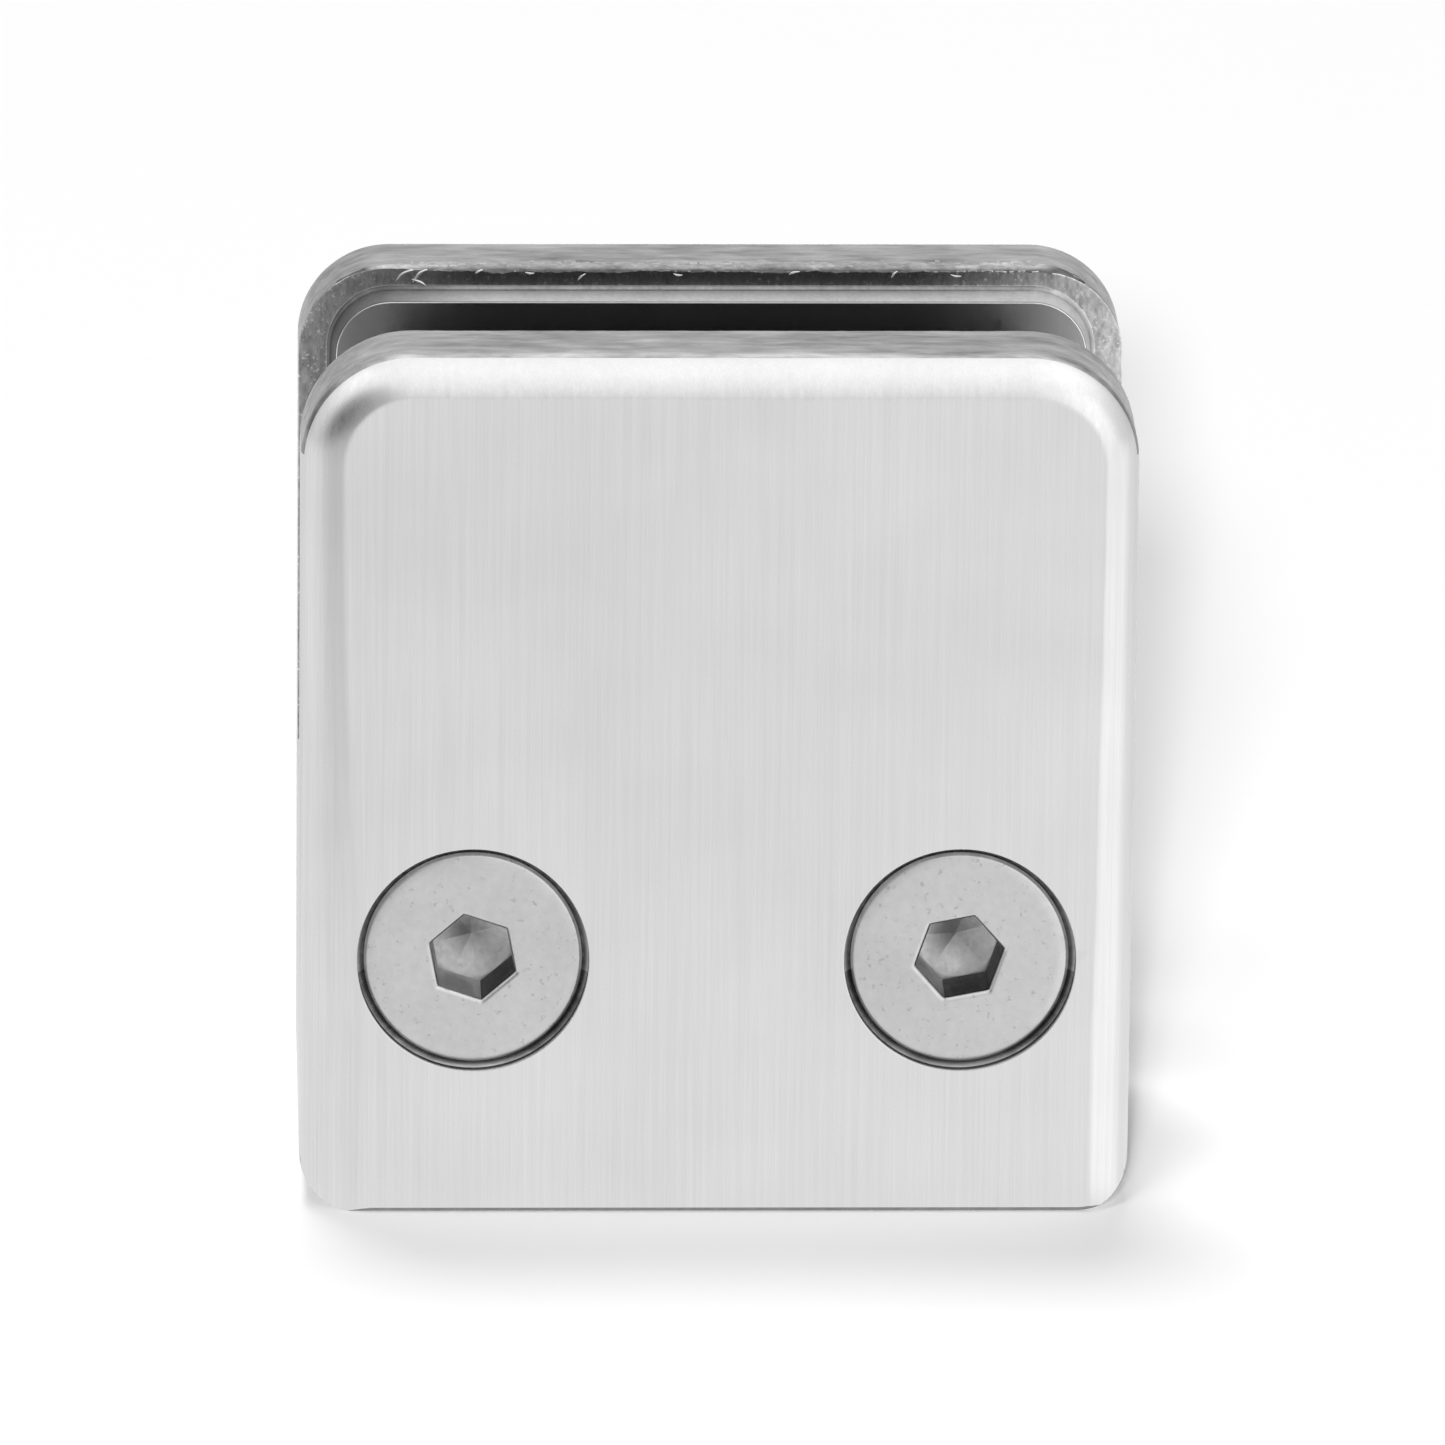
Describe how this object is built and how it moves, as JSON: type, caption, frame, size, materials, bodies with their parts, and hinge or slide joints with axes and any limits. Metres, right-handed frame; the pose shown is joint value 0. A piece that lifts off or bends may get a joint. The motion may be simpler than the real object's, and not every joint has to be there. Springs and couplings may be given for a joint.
{
  "type": "glass clamp",
  "caption": "Square post-mounted glass clamp: a rear jaw with a heel, a loose front jaw, rubber pads on both jaws and countersunk socket screws; slot open at the top and sides.",
  "frame": {"origin": "centre of the flat foot, on the axis of the bolt hole", "axes": "+Z from the foot up to the open end of the slot, -Y to the front face with the screw heads, X across the width"},
  "size_m": [0.045, 0.026, 0.0478],
  "materials": {
    "brushed_metal": "satin, brushed along the height",
    "black_rubber": "matt",
    "screw_steel": "dull, as headed"
  },
  "bodies": {
    "rear_body": {"rear_body": "brushed_metal", "rear_gasket": "black_rubber"},
    "front_jaw": {"front_jaw": "brushed_metal", "front_gasket": "black_rubber"},
    "screw_left": {"screw_left": "screw_steel"},
    "screw_right": {"screw_right": "screw_steel"}
  },
  "joints": [
    {"name": "jaw_slide", "type": "slide", "parent": "rear_body", "child": "front_jaw", "axis": [0, -1, 0], "range_m": [0, 0.005]},
    {"name": "screw_left_turn", "type": "hinge", "parent": "front_jaw", "child": "screw_left", "pos_m": [-0.01315, -0.01255, 0.0143], "axis": [0, -1, 0], "range_deg": [0, 1800]},
    {"name": "screw_right_turn", "type": "hinge", "parent": "front_jaw", "child": "screw_right", "pos_m": [0.01315, -0.01255, 0.0143], "axis": [0, -1, 0], "range_deg": [0, 1800]}
  ],
  "couplings": [
    {"joint": "screw_left_turn", "follows": "jaw_slide", "rad_per_m": 6283.2},
    {"joint": "screw_right_turn", "follows": "jaw_slide", "rad_per_m": 6283.2}
  ]
}
